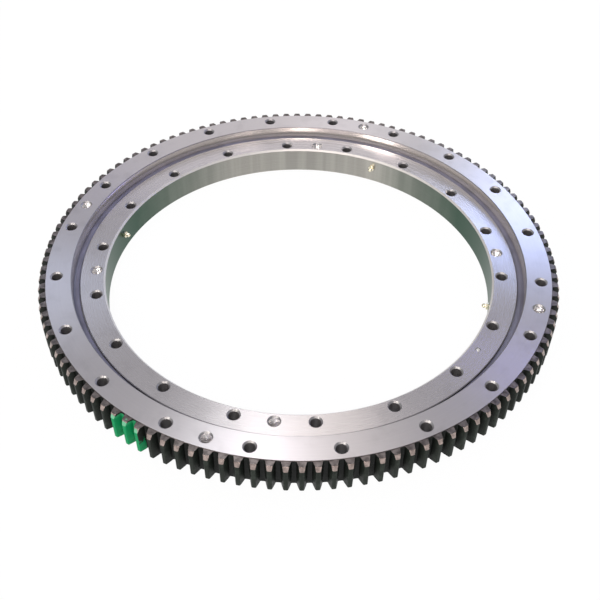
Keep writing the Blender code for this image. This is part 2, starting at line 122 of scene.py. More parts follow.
FACE, WALL, TOOTH, END, DRILLED, THREADED, BORE, BEVEL, MOUTH, GROOVE, EDGE, RING_RIM = range(12)
SMUDGE = 0.22  # greatest share of the darker tone in the smudges
SIDE_REFLECTION_STARTS, SIDE_REFLECTION_FULL = 0.13, 0.27  # painted green reflection and painted shade on the sides of the bore, by the distance from X = 0
GAP_SHADE_FULL, GAP_SHADE_ENDS = 0.3612, 0.3700  # painted shade in the tooth gaps, by the radius
PAINT_LIMIT = 0.95  # paint lies where vertex value and noise add up to more
PAINT_ON_ENDS = 0.3
PAINT_BESIDE = 0.9

WHITE = (1.0, 1.0, 1.0, 1.0)
SKY_STRENGTH = 0.49
FLOOR_RADIUS = 6.0
FLOOR_HEIGHT = -0.2 * MM
WHITE_SHARE = 0.97  # of the floor in view, and the rest takes the shadow
CAMERA_PLACE = (0.00198, -0.94760, 0.90275)
CAMERA_LENS = 52.499
CAMERA_PITCH = math.radians(44.7863)
CAMERA_ROLL = 0.0093028
SOFTBOX_HALF_ANGLE = math.radians(12)  # sets how strong a lamp is
LAMP_ANGLE = math.radians(15)  # across the disc of a lamp
LAMPS = (  # name, elevation and azimuth in degrees, and radiance in red, green and blue
    ("top_front", 75, 240, (6.44, 5.62, 5.79)),
    ("top_back", 75, 120, (2.21, 2.43, 2.48)),
    ("back_high", 60, 90, (0.88, 0.82, 0.72)),
    ("front_high", 45, 270, (3.2, 2.95, 2.7)),
    ("left_window", 35, 228, (4.2, 4.01, 3.61)),
    ("left_window_low", 12, 225, (3.68, 3.37, 3.34)),
    ("right_window", 30, 63, (0.91, 1.25, 2.24)),
    ("right_window_high", 45, 30, (0.73, 0.74, 2.13)),
    ("left_back_window", 37, 128, (0.4, 0.5, 0.65)),
    ("right_window_low", 22, 58, (0.5, 0.55, 0.65)),
    ("right_window_far", 22, 68, (1.4, 1.6, 2.0)),
    ("back_low", 30, 100, (0.22, 0.22, 0.24)),
    ("front_right_low", 12, 298, (2.4, 2.2, 2.1)),
)


def length(label, text, millimetres):
    """A size that the user can change, kept in metres."""
    return bpy.props.FloatProperty(name=label, description=text, default=millimetres * MM,
                                   min=0.0, precision=4, subtype="DISTANCE", unit="LENGTH")


def tint(label, text, red, green, blue):
    """A colour that the user can change, given as screen values from 0 to 255."""
    return bpy.props.FloatVectorProperty(name=label, description=text, subtype="COLOR", size=3,
                                         min=0.0, max=1.0, default=linear(red, green, blue))


def linear(*levels):
    """Screen values from 0 to 255 as the linear values that a shader takes."""
    return tuple(((level / 255 + 0.055) / 1.055) ** 2.4 if level > 10 else level / 3295 for level in levels)


class RingSizes(bpy.types.PropertyGroup):
    """Sizes of the two rings."""

    module: length("Module", "Pitch circle over number of teeth", 6.0)
    tooth_thinning: length("Tooth thinning", "Backlash allowance on the pitch circle", 0.3)
    tip_radius: length("Tip radius", "Radius over the teeth", 371.38)
    root_radius: length("Root radius", "Radius of the gap floors", 360.6)
    root_fillet: length("Root fillet", "Rounding at the foot of each flank", 2.1)
    tip_edge: length("Tip edge", "Rounding along the edges of each tooth tip", 0.7)
    tooth_step: length("Tooth step", "Depth of the tooth ends below the ground face", 1.0)
    bevel_depth: length("Bevel depth", "Radial depth of the bevel on each tooth tip", 3.0)
    bevel_height: length("Bevel height", "Height of the bevel on each tooth tip", 6.5)
    lower_chamfer: length("Lower chamfer", "Chamfer round the lower ends of the teeth", 1.0)
    edge_break: length("Edge break", "Small chamfer that removes a burr", 0.25)
    face_radius: length("Face radius", "Outer edge of the ground face", 360.0)
    outer_wall: length("Outer ring wall", "Radius of the outer ring's turned wall", 324.3)
    outer_land: length("Outer ring land", "Radius of the outer ring beside the race", 322.0)
    outer_circle: length("Outer bolt circle", "Radius of the outer bolt circle", 345.0)
    inner_circle: length("Inner bolt circle", "Radius of the inner bolt circle", 293.0)
    inner_wall: length("Inner ring wall", "Radius of the inner ring beside the upper seal", 315.0)
    inner_land: length("Inner ring land", "Radius of the inner ring beside the race", 318.0)
    inner_foot: length("Inner ring foot", "Radius of the inner ring below the lower seal", 316.0)
    groove_depth: length("Seal groove", "Depth of the seal grooves", 3.7)
    bore_radius: length("Bore radius", "Radius of the bore", 279.5)
    bore_chamfer: length("Bore chamfer", "Chamfer at the upper end of the bore", 2.5)
    foot_chamfer: length("Foot chamfer", "Chamfer at the lower end of the bore", 1.0)
    edge_chamfer: length("Edge chamfer", "Chamfer on the turned edges", 1.0)
    hole_radius: length("Hole radius", "Radius of the bolt holes", 7.0)
    countersink: length("Countersink", "Chamfer at the mouth of each hole", 2.0)
    thread_radius: length("Thread radius", "Smallest radius of the tapped holes", 6.9)
    thread_depth: length("Thread depth", "Depth of the tapped holes", 26.0)
    ball_circle: length("Ball circle", "Radius of the circle on which the balls run", 320.0)
    ball_radius: length("Ball radius", "Radius of one ball", 8.0)
    race_clearance: length("Race clearance", "Space between a ball and its groove", 0.4)


class RingColours(bpy.types.PropertyGroup):
    """Colours of the finishes."""

    ground: tint("Ground steel", "Ground upper faces", 204, 199, 204)
    turned: tint("Turned steel", "Walls beside the seal, undersides, pin and balls", 244, 238, 230)
    bore: tint("Bore steel", "Wall of the bore, race, grooves and plug", 160, 158, 152)
    # Painted reflection and shade: a dark green that stands in for the green floor reflected on the sides of
    # the bore.
    oil_and_painted_light: tint("Bore oil film", "Greenish oil on the sides of the bore", 66, 90, 76)
    # Painted shade in part: the flanks are dark steel, made darker still in place of dark surroundings that
    # light them little.
    tooth: tint("Tooth flanks", "Hobbed flanks with their dark oil film", 34, 40, 35)
    tooth_end: tint("Tooth ends", "Rough turned ends of the teeth", 108, 101, 100)
    bevel: tint("Tooth bevels", "Turned bevels on the tooth tips", 164, 148, 142)
    drilled: tint("Drilled steel", "Inside of the bolt holes", 132, 130, 132)
    edge: tint("Turned edges", "Small chamfers on the upper edges of the rings", 140, 137, 140)
    rim: tint("Bore rim", "Chamfer at the upper end of the bore", 208, 205, 202)
    mouth: tint("Hole mouths", "Chamfers at the mouths of the holes", 170, 168, 170)
    thread: tint("Tapped steel", "Inside of the tapped holes", 246, 243, 242)
    paint: tint("Marking paint", "Paint on the marked teeth", 0, 136, 82)
    thin_paint: tint("Thin paint", "Paint that is rubbed thin at the tops of the marked teeth", 110, 208, 160)
    rubber: tint("Seal rubber", "Seal rings", 94, 93, 110)
    brass: tint("Brass", "Grease nipples", 238, 230, 206)
    nylon: tint("Cage", "Cage strips", 196, 184, 150)
    floor: tint("Floor", "Studio floor", 252, 252, 252)


# Surfaces


def grid_faces(points):
    """Quads of a surface whose rows each close on themselves, as an array of rows by columns by 4."""
    rows, columns = points.shape[:2]
    index = np.arange(rows * columns).reshape(rows, columns)
    after = np.roll(index, -1, axis=1)
    return np.stack([index[:-1], after[:-1], after[1:], index[1:]], axis=-1)


def closed_grid(points, slot):
    """One surface from rows of points, each row a closed loop."""
    return points.reshape(-1, 3), grid_faces(points).reshape(-1, 4), slot


def round_points(radius, angle, height):
    """Cylinder coordinates to space: x = r cos a, y = r sin a, z = h, for whole arrays."""
    radius, angle, height = np.broadcast_arrays(radius, angle, height)
    return np.stack([radius * np.cos(angle), radius * np.sin(angle), height], axis=-1)


def lathe(angles, profile, slot):
    """A turned surface: row i of the profile gives radius and height, column j the angle."""
    radius, height = np.asarray(profile, float).T
    return closed_grid(round_points(radius[:, None], angles[None, :], height[:, None]), slot)


def fan(loop, centre, slot):
    """Triangles from a closed loop of points to its centre."""
    points = np.vstack([loop, centre])
    index = np.arange(len(loop))
    middle = np.full(len(loop), len(loop))
    return points, np.stack([index, np.roll(index, -1), middle], axis=-1), slot


def capped_grid(points, slot, ends):
    """A surface from rows of closed loops, with a fan from each end to its own point."""
    return [closed_grid(points, slot), fan(points[0], ends[0], slot), fan(points[-1], ends[1], slot)]


def zip_loops(first, second, slot):
    """Triangles between two circles with their own columns: each next point, by angle, closes one."""
    loops = []
    for loop in (first, second):
        angle = np.arctan2(loop[:, 1], loop[:, 0]) % math.tau
        order = np.argsort(angle)
        loops.append((angle[order], loop[order]))
    (angle_a, points_a), (angle_b, points_b) = loops
    every = np.sort(np.concatenate([angle_a, angle_b]))
    from_a = np.isin(every, angle_a)
    count_a, count_b = len(angle_a), len(angle_b)
    at_a = (np.searchsorted(angle_a, every, side="right") - 1) % count_a
    at_b = (np.searchsorted(angle_b, every, side="right") - 1) % count_b
    before = np.where(from_a, (at_a - 1) % count_a, count_a + (at_b - 1) % count_b)
    here = np.where(from_a, at_a, count_a + at_b)
    across = np.where(from_a, count_a + at_b, at_a)
    return np.vstack([points_a, points_b]), np.stack([before, here, across], axis=-1), slot


class Cells:
    """The columns of one ring: a fine run over each place for a hole, and a coarse run between two."""

    def __init__(self, first, count, half_width):
        step = math.tau / count
        run = np.linspace(-half_width, half_width, FINE + 1)
        rest = np.linspace(half_width, step - half_width, COARSE + 1)[1:-1]
        self.half_width = half_width
        self.centres = first + step * np.arange(count)
        self.angles = (self.centres[:, None] + np.concatenate([run, rest])).ravel()
        self.stride = FINE + COARSE


class Face:
    """A flat ring face at a height, with coordinates across and along a radius from the bolt circle."""

    def __init__(self, circle, height, inwards):
        self.circle = circle
        self.height = height
        self.inwards = inwards

    def lay(self, turn, radius):
        """Across = r sin t, along = r cos t less the bolt circle."""
        return radius * np.sin(turn), radius * np.cos(turn) - self.circle

    def lift(self, angle, across, along, depth=0.0):
        """Turns the flat coordinates by the angle of their hole, and sinks them by the depth."""
        out = self.circle + along
        x = out * np.cos(angle) - across * np.sin(angle)
        y = out * np.sin(angle) + across * np.cos(angle)
        return np.stack(np.broadcast_arrays(x, y, self.height + self.inwards * depth), axis=-1)


class Wall:
    """The bore wall unrolled, with coordinates round the bore and up from race height."""

    def __init__(self, radius, height):
        self.radius = radius
        self.height = height

    def lay(self, turn, level):
        """Across = radius times turn, along = height above the race."""
        return self.radius * turn, level - self.height

    def lift(self, angle, across, along, depth=0.0):
        """Rolls the flat coordinates back on the cylinder, and sinks them outwards by the depth."""
        turn = angle + across / self.radius
        return round_points(self.radius + depth, turn, self.height + along)


def rim(radius):
    """A circle about a hole's centre, from the corner of its cell: (r cos p, r sin p)."""
    swing = math.radians(225) + math.tau * np.arange(RIM) / RIM
    return radius * np.cos(swing), radius * np.sin(swing)


def cell_edge(cells, levels, sheet):
    """The loop round one cell in flat coordinates, counter-clockwise from its inner left corner."""
    turn = np.linspace(-cells.half_width, cells.half_width, FINE + 1)
    turns = np.concatenate([turn[:-1], np.full(FINE, turn[-1]), turn[:0:-1], np.full(FINE, turn[0])])
    level = np.concatenate([np.full(FINE, levels[0]), levels[:-1], np.full(FINE, levels[-1]), levels[:0:-1]])
    return sheet.lay(turns, level)


def holed_sheet(cells, levels, sheet, holes, slot):
    """A ring face with a patch round each hole: t from 0 to 1 blends its circle into the edge of its cell."""
    turn, level = np.meshgrid(cells.angles, levels)
    grid = sheet.lift(0.0, *sheet.lay(turn, level))
    quads = grid_faces(grid)
    column = np.arange(len(cells.angles))
    holed = np.isin(column // cells.stride, list(holes)) & (column % cells.stride < FINE)
    surfaces = [(grid.reshape(-1, 3), quads[:, ~holed].reshape(-1, 4), slot)]
    edge_across, edge_along = cell_edge(cells, levels, sheet)
    blend = np.array(PATCH_ROWS)[:, None]
    for cell, radius in holes.items():
        across, along = rim(radius)
        across = (1 - blend) * across + blend * edge_across
        along = (1 - blend) * along + blend * edge_along
        surfaces.append(closed_grid(sheet.lift(cells.centres[cell], across, along), slot))
    return surfaces


def barrel(sheet, angle, rows, slot):
    """The inside of a hole: each row gives radius and depth below the face."""
    radius, depth = np.asarray(rows, float).T[..., None]
    across, along = rim(1.0)
    return closed_grid(sheet.lift(angle, radius * across, radius * along, depth), slot)


def peg(sheet, angle, rows):
    """A turned peg in a hole: its side, with a flat at each end."""
    side = barrel(sheet, angle, rows, 0)[0].reshape(-1, RIM, 3)
    return capped_grid(side, 0, sheet.lift(angle, 0.0, 0.0, np.array([rows[0][1], rows[-1][1]])))


def tapped_hole(sheet, angle, sizes):
    """Threaded hole: radius = core + height x triangle wave of (depth / pitch - turn), under a chamfer."""
    mouth = sizes.countersink
    depth = np.linspace(mouth, sizes.thread_depth, THREAD_ROWS)[:, None]
    swing = np.arange(RIM) / RIM
    wave = np.abs(((depth / THREAD_PITCH - swing) % 1.0) * 2 - 1)
    fade = np.clip(np.minimum(depth - mouth, sizes.thread_depth - depth) / THREAD_PITCH, 0, 1)
    radius = sizes.thread_radius + THREAD_HEIGHT * wave * fade
    across, along = rim(1.0)
    points = sheet.lift(angle, radius * across, radius * along, depth)
    tip = sheet.lift(angle, 0.0, 0.0, sizes.thread_depth + DRILL_POINT)
    chamfer = [(sizes.thread_radius + mouth, 0.0), (sizes.thread_radius, mouth)]
    thread = [closed_grid(points, THREADED), fan(points[-1], tip, THREADED)]
    return [barrel(sheet, angle, chamfer, MOUTH), *thread]


def drilled_hole(sheet, angle, deep, sizes):
    """A through hole with a countersink above and a broken edge below."""
    bore, sink, small = sizes.hole_radius, sizes.countersink, sizes.edge_break
    inside = [(bore, sink), (bore, deep / 2), (bore, deep - small), (bore + small, deep)]
    mouth = [(bore + sink, 0.0), (bore, sink)]
    return [barrel(sheet, angle, mouth, MOUTH), barrel(sheet, angle, inside, DRILLED)]


def ring_faces(cells, sheets, spans, tapped, sizes, others=()):
    """Both flat faces of a ring, from the spans of their radii, with all holes that open in them."""
    top, bottom = sheets
    through = range(0, len(cells.centres), 2)
    mouths = dict.fromkeys(through, sizes.hole_radius + sizes.countersink)
    mouths.update(dict.fromkeys(tapped, sizes.thread_radius + sizes.countersink))
    mouths.update(others)
    feet = dict.fromkeys(through, sizes.hole_radius + sizes.edge_break)
    surfaces = []
    for sheet, span, holes, slot in zip(sheets, spans, (mouths, feet), (FACE, WALL)):
        surfaces += holed_sheet(cells, np.linspace(*span, FINE + 1), sheet, holes, slot)
    for place in through:
        surfaces += drilled_hole(top, cells.centres[place], top.height - bottom.height, sizes)
    for place in tapped:
        surfaces += tapped_hole(top, cells.centres[place], sizes)
    return surfaces


# Gear teeth


def half_tooth(radius, sizes):
    """Half the angle that a tooth fills: s / 2R + inv(20 degrees) - inv(arccos(base radius / r))."""
    pitch_radius = TEETH * sizes.module / 2
    turn = np.arccos(pitch_radius * math.cos(PRESSURE_ANGLE) / radius)
    thickness = math.pi * sizes.module / 2 - sizes.tooth_thinning
    at_base = thickness / (2 * pitch_radius) + math.tan(PRESSURE_ANGLE) - PRESSURE_ANGLE
    return at_base - (np.tan(turn) - turn)


def half_section(limit, inset, sizes):
    """Half a tooth up to a limiting radius, set back by the inset: gap floor, fillet, involute and tip."""
    root = sizes.root_radius
    foot = root + sizes.root_fillet
    blend = np.arange(FILLET_POINTS) / FILLET_POINTS
    fillet_radius = root + sizes.root_fillet * blend ** 2
    fillet_angle = half_tooth(foot, sizes) + (1 - blend) ** 2 * sizes.root_fillet / root
    flank_radius = np.linspace(foot, limit - sizes.tip_edge, FLANK_POINTS)
    flank_angle = half_tooth(flank_radius, sizes)
    tip_angle = half_tooth(limit, sizes) - sizes.tip_edge / limit
    radius = np.concatenate([[root], fillet_radius, flank_radius, [limit, limit]])
    angle = np.concatenate([[math.pi / TEETH], fillet_angle, flank_angle, [tip_angle, tip_angle / 2]])
    outward = np.concatenate([[1.0], np.sqrt(1 - blend ** 2), np.zeros(FLANK_POINTS), [1.0, 1.0]])
    sideways = np.concatenate([[0.0], blend, np.ones(FLANK_POINTS), [1.0, 0.5]])
    return radius - inset * outward, angle - inset * sideways / radius


def gear_loop(limit, inset, sizes):
    """The section of all teeth as radius and angle, counter-clockwise."""
    radius, angle = half_section(limit, inset, sizes)
    radius = np.concatenate([radius, [limit - inset], radius[:0:-1]])
    angle = np.concatenate([-angle, [0.0], angle[:0:-1]])
    centres = FIRST_TOOTH + math.tau * np.arange(TEETH) / TEETH
    return np.tile(radius, TEETH), (centres[:, None] + angle).ravel()


def gear_surfaces(sizes):
    """The teeth from their lower chamfer up to the ground face, and the loops that close both ends."""
    end = OUTER_TOP - sizes.tooth_step
    small = sizes.edge_break
    bevelled = sizes.tip_radius - sizes.bevel_depth
    rows = [
        (OUTER_BOTTOM, sizes.tip_radius, sizes.lower_chamfer),
        (OUTER_BOTTOM + sizes.lower_chamfer, sizes.tip_radius, 0.0),
        (end - sizes.bevel_height, sizes.tip_radius, 0.0),
        (end - small, bevelled + small * sizes.bevel_depth / sizes.bevel_height, 0.0),
        (end, bevelled, small),
    ]
    loops = [gear_loop(limit, inset, sizes) for _, limit, inset in rows]
    points = np.stack([round_points(radius, angle, row[0]) for row, (radius, angle) in zip(rows, loops)])
    quads = grid_faces(points)
    per_tooth = len(loops[0][0]) // TEETH
    tip_starts = FILLET_POINTS + FLANK_POINTS
    column = np.arange(quads.shape[1]) % per_tooth
    on_tip = (column >= tip_starts) & (column < per_tooth - tip_starts)
    bright = np.zeros(quads.shape[:2], bool)
    bright[2:4] = on_tip  # the rows of quads from the foot of the bevel to its top
    flat = points.reshape(-1, 3)
    inner_loop = round_points(sizes.face_radius, loops[-1][1], end)
    lower_loop = round_points(sizes.root_radius - 2 * sizes.lower_chamfer, loops[0][1], OUTER_BOTTOM)
    middle = (points[-1] + inner_loop) / 2
    surfaces = [
        (flat, quads[~bright], TOOTH),
        (flat, quads[bright], BEVEL),
        closed_grid(np.stack([points[-1], middle, inner_loop]), END),
        closed_grid(np.stack([lower_loop, points[0]]), TOOTH),
    ]
    return surfaces, inner_loop, lower_loop


def race(side, sizes):
    """The ball groove from top to bottom: r = ball circle + side R cos a, h = race height + R sin a."""
    radius = sizes.ball_radius + sizes.race_clearance
    land = sizes.outer_land if side > 0 else sizes.inner_land
    edge = math.acos(abs(land - sizes.ball_circle) / radius)
    angle = np.linspace(edge, -edge, RACE_ROWS)
    return list(zip(sizes.ball_circle + side * radius * np.cos(angle), RACE_HEIGHT + radius * np.sin(angle)))


def groove_heights():
    """Top and bottom of the upper and of the lower seal groove."""
    upper = INNER_TOP - GROOVE_EDGE
    lower = OUTER_BOTTOM + GROOVE_EDGE
    return upper, upper - GROOVE_HEIGHT, lower + GROOVE_HEIGHT, lower


# Mesh and finish helpers


def add_object(name, data):
    """Makes an object from its data and links it to the scene."""
    made = bpy.data.objects.new(name, data)
    bpy.context.scene.collection.objects.link(made)
    return made


def make_piece(name, surfaces, finishes, body, stands_for):
    """Puts the surfaces into one mesh, closes their seams, turns each face outwards and shades it."""
    points, faces, slots = [], [], []
    for places, polygons, material in surfaces:
        faces += (polygons + len(points)).tolist()
        slots += [material] * len(polygons)
        points += places.tolist()
    mesh = bpy.data.meshes.new(name)
    mesh.from_pydata(points, [], faces)
    for finish in finishes:
        mesh.materials.append(finish)
    mesh.polygons.foreach_set("material_index", slots)
    work = bmesh.new()
    work.from_mesh(mesh)
    bmesh.ops.remove_doubles(work, verts=work.verts, dist=WELD)
    bmesh.ops.recalc_face_normals(work, faces=work.faces)
    open_edges = sum(1 for edge in work.edges if len(edge.link_faces) != 2)
    if open_edges:
        raise RuntimeError(f"{name} has {open_edges} edges that do not join two faces")
    if work.calc_volume(signed=True) < 0:
        bmesh.ops.reverse_faces(work, faces=work.faces)
    work.to_mesh(mesh)
    work.free()
    mesh.shade_smooth()
    mesh.set_sharp_from_angle(angle=SHARP_EDGE)
    piece = add_object(name, mesh)
    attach(piece, body)
    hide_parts(*stands_for)
    return piece


def fill(tree, node, values):
    """Puts each value into the input of its key, as a link where it is a socket."""
    for key, value in values.items():
        if isinstance(value, bpy.types.NodeSocket):
            tree.links.new(value, node.inputs[key])
        else:
            node.inputs[key].default_value = value


def add_node(tree, kind, values=None, **settings):
    """Adds a node to a tree, with its settings and then its values."""
    made = tree.nodes.new(kind)
    for key, value in settings.items():
        setattr(made, key, value)
    fill(tree, made, values or {})
    return made


class Finish:
    """A material with its shader and short calls that add nodes to it."""

    def __init__(self, name, colour, metallic, roughness):
        self.material = bpy.data.materials.new(name)
        self.material.use_nodes = True
        self.tree = self.material.node_tree
        self.shader = self.tree.nodes["Principled BSDF"]
        self.put({"Base Color": (*colour, 1.0), "Metallic": metallic, "Roughness": roughness})
        self.place = self.node("ShaderNodeTexCoord", output="Object")

    def put(self, values):
        """Sets or links inputs of the shader."""
        fill(self.tree, self.shader, values)

    def node(self, kind, values=None, output=0, **settings):
        """Adds a node to the material and gives one of its outputs."""
        return add_node(self.tree, kind, values, **settings).outputs[output]

    def maths(self, operation, first, second=0.0):
        """The result of an operation on two values."""
        return self.node("ShaderNodeMath", {0: first, 1: second}, operation=operation)

    def axis(self, name):
        """One coordinate of the place on the piece."""
        return self.node("ShaderNodeSeparateXYZ", {0: self.place}, name)

    def radius(self):
        """Distance from the ring's axis."""
        flat = self.node("ShaderNodeVectorMath", {0: self.place, 1: (1.0, 1.0, 0.0)}, operation="MULTIPLY")
        return self.node("ShaderNodeVectorMath", {0: flat}, "Value", operation="LENGTH")

    def lines(self, spacing, detail=3.0):
        """Turning marks at a spacing in metres: noise of radius plus height, for faces and walls alike."""
        across = self.maths("ADD", self.radius(), self.axis("Z"))
        values = {"W": self.maths("MULTIPLY", across, 1 / spacing), "Scale": 1.0, "Detail": detail}
        return self.node("ShaderNodeTexNoise", values, noise_dimensions="1D")

    def clouds(self, size, detail=3.0, stretch=(1.0, 1.0, 1.0)):
        """Soft patches of a size in metres."""
        scaled = self.node("ShaderNodeVectorMath", {0: self.place, 1: stretch}, operation="MULTIPLY")
        values = {"Vector": scaled, "Scale": 1 / size, "Detail": detail}
        return self.node("ShaderNodeTexNoise", values)

    def spread(self, value, new_low, new_high, low=0.3, high=0.7):
        """Moves a value from its range, by default that of most noise, to a new one, held at its ends."""
        return self.node("ShaderNodeMapRange", {0: value, 1: low, 2: high, 3: new_low, 4: new_high})

    def weigh(self, first, second, share):
        """First times its share, plus second times the rest."""
        part = self.maths("MULTIPLY", first, share)
        return self.maths("ADD", part, self.maths("MULTIPLY", second, 1 - share))

    def mix(self, share, first, second):
        """A colour between two others."""
        return self.node("ShaderNodeMix", {0: share, 6: first, 7: second}, 2, data_type="RGBA")

    def tones(self, share, colour, low, high):
        """A colour between two brightnesses of one colour."""
        return self.mix(share, shade(colour, low), shade(colour, high))

    def shine(self, colour, roughness):
        """Gives the shader its colour and its roughness."""
        self.put({"Base Color": colour, "Roughness": roughness})

    def turned_gloss(self, stretch):
        """Highlights that spread across the marks of a lathe, which run round Z."""
        self.shader.inputs["Anisotropic"].default_value = stretch
        self.shader.inputs["Anisotropic Rotation"].default_value = 0.25
        self.put({"Tangent": self.node("ShaderNodeTangent", direction_type="RADIAL", axis="Z")})

    def relief(self, value, depth):
        """Bump from a value, with its depth in metres."""
        values = {"Height": value, "Distance": depth, "Strength": 1.0}
        self.put({"Normal": self.node("ShaderNodeBump", values)})


def shade(colour, factor=1.0):
    """A colour made darker or lighter, with full cover."""
    return (*[min(1.0, level * factor) for level in colour], 1.0)


def machined(name, colour, roughness, spacing, contrast, depth, metallic=1.0, stretch=0.0):
    """Cut steel: marks that run round the ring, over soft patches of tone and darker smudges."""
    finish = Finish(name, colour, metallic, roughness)
    if stretch:
        finish.turned_gloss(stretch)
    marks = finish.lines(spacing)
    tone = finish.spread(finish.weigh(marks, finish.clouds(0.05), 0.6), 0.0, 1.0)
    tinted = finish.tones(tone, colour, 1 - contrast, 1 + contrast)
    smudge = finish.spread(finish.clouds(0.028, 5.0), 0.0, SMUDGE, 0.52, 0.72)
    gloss = [roughness * (1 - contrast), roughness * (1 + contrast)]
    finish.shine(finish.mix(smudge, tinted, shade(colour, 0.6)), finish.spread(marks, *gloss))
    finish.relief(marks, depth)
    return finish.material


def bore_finish(colours):
    """Turned bore: marks round it, upright streaks, and on its sides a painted green reflection with painted
    shade.
    """
    finish = Finish("bore_wall", colours.bore, 1.0, 0.34)
    finish.turned_gloss(0.8)
    marks = finish.lines(0.0012)
    wander = finish.maths("MULTIPLY", finish.clouds(0.04), 0.03)
    side = finish.maths("ADD", finish.maths("ABSOLUTE", finish.axis("X")), wander)
    # Painted reflection and shade: the sides of the bore turn to the dark green, more so the further they are
    # from X = 0.
    film_and_painted_light = finish.spread(side, 0.0, 1.0, SIDE_REFLECTION_STARTS, SIDE_REFLECTION_FULL)
    share = finish.spread(marks, 0.0, 1.0)
    streaks = finish.spread(finish.clouds(0.016, stretch=(1.0, 1.0, 0.04)), 0.0, 1.0, 0.4, 0.7)
    bare_tone = finish.tones(finish.weigh(share, streaks, 0.4), colours.bore, 0.86, 1.3)
    green_reflection = finish.tones(share, colours.oil_and_painted_light, 0.85, 1.15)
    finish.shine(finish.mix(film_and_painted_light, bare_tone, green_reflection), finish.spread(marks, 0.28, 0.4))
    finish.relief(marks, 0.000008)
    return finish.material


def paint_share(finish):
    """Where the marking paint lies: the vertex value of the painted teeth, with a ragged edge from noise."""
    painted = finish.node("ShaderNodeAttribute", output="Fac", attribute_name="painted")
    ragged = finish.maths("MULTIPLY", finish.clouds(0.004, 4.0), 0.9)
    return finish.maths("GREATER_THAN", finish.maths("ADD", painted, ragged), PAINT_LIMIT)


def tooth_finish(colours):
    """Hobbed flanks under a dark oily coat, darker still as painted shade: faint marks along the tooth,
    rubbed spots, painted shade that deepens towards the gap floors, and the marking paint.
    """
    finish = Finish("tooth_flanks", colours.tooth, 0.0, 0.5)
    finish.shader.inputs["Specular IOR Level"].default_value = 0.12
    feed = finish.clouds(0.0016, 2.0, stretch=(0.35, 0.35, 1.0))
    worn = finish.spread(finish.clouds(0.009, 5.0), 0.0, 1.0, 0.52, 0.78)
    rubbed = finish.tones(worn, colours.tooth, 0.9, 2.0)
    # Painted shade: the flanks darken to a quarter of their colour towards the gap floors.
    clear_of_gap_shade = finish.spread(finish.radius(), 0.0, 1.0, GAP_SHADE_FULL, GAP_SHADE_ENDS)
    film_and_painted_light = finish.mix(clear_of_gap_shade, shade(colours.tooth, 0.25), rubbed)
    coat = finish.tones(finish.clouds(0.006), colours.paint, 0.8, 1.15)
    thinned = finish.spread(finish.axis("Z"), 0.0, 0.35, OUTER_TOP - 9 * MM, OUTER_TOP - 1 * MM)
    paint = finish.mix(thinned, coat, shade(colours.thin_paint))
    finish.shine(finish.mix(paint_share(finish), film_and_painted_light, paint), finish.spread(feed, 0.36, 0.55))
    finish.relief(feed, 0.00008)
    return finish.material


def tooth_end_finish(colours):
    """Rough turned tooth ends: strong marks, dark stain and a few spots of the marking paint."""
    metallic = 0.85
    finish = Finish("tooth_ends", colours.tooth_end, metallic, 0.36)
    finish.turned_gloss(0.7)
    marks = finish.lines(0.0009)
    stain = finish.spread(finish.clouds(0.007, 5.0), 0.0, 1.0, 0.35, 0.65)
    steel = finish.tones(stain, colours.tooth_end, 0.55, 1.4)
    painted = paint_share(finish)
    bare = finish.maths("MULTIPLY", finish.maths("SUBTRACT", 1.0, painted), metallic)
    finish.put({"Metallic": bare})
    finish.shine(finish.mix(painted, steel, shade(colours.thin_paint)), finish.spread(marks, 0.3, 0.48))
    finish.relief(marks, 0.00006)
    return finish.material


def tooth_bevel_finish(colours):
    """Turned bevels: rubbed brighter in spots, with thin paint on the marked teeth."""
    finish = Finish("tooth_bevels", colours.bevel, 0.9, 0.25)
    worn = finish.spread(finish.clouds(0.005, 4.0), 0.0, 1.0, 0.35, 0.65)
    steel = finish.tones(worn, colours.bevel, 0.65, 1.2)
    painted = finish.maths("MULTIPLY", paint_share(finish), 0.8)
    finish.put({"Base Color": finish.mix(painted, steel, shade(colours.thin_paint))})
    finish.relief(finish.lines(0.0009), 0.00002)
    return finish.material


def rubber_finish(colours):
    """Moulded rubber: faint flow lines round the ring and a thin oily layer in patches."""
    finish = Finish("seal_rubber", colours.rubber, 0.0, 0.4)
    film_and_painted_light = finish.spread(finish.clouds(0.03), 0.0, 1.0, 0.35, 0.65)
    finish.shine(finish.tones(film_and_painted_light, colours.rubber, 0.8, 1.2), finish.spread(film_and_painted_light, 0.32, 0.5, 0.0, 1.0))
    finish.relief(finish.lines(0.0011, 2.0), 0.00005)
    return finish.material


def steel_finishes(colours, face_roughness):
    """The finishes of a ring, in the order of the slot numbers."""
    return [  # after the roughness: spacing, contrast and depth of the marks, metallic, stretch of the gloss
        machined("ground_face", colours.ground, face_roughness, 0.0025, 0.018, 0.0000004, 1.0, 0.85),
        machined("turned_wall", colours.turned, 0.18, 0.0010, 0.06, 0.000003, 0.8, 0.6),
        tooth_finish(colours),
        tooth_end_finish(colours),
        machined("drilled_hole", colours.drilled, 0.38, 0.0009, 0.2, 0.00004, 0.6),
        machined("tapped_thread", colours.thread, 0.16, 0.0007, 0.03, 0.000002, 0.8),
        bore_finish(colours),
        tooth_bevel_finish(colours),
        machined("hole_mouth", colours.mouth, 0.38, 0.0006, 0.05, 0.000004),
        machined("race_and_grooves", colours.bore, 0.3, 0.0010, 0.06, 0.00004),
        machined("turned_edge", colours.edge, 0.5, 0.0010, 0.06, 0.000004),
        machined("bore_rim", colours.rim, 0.45, 0.0010, 0.06, 0.000004, 0.6),
    ]


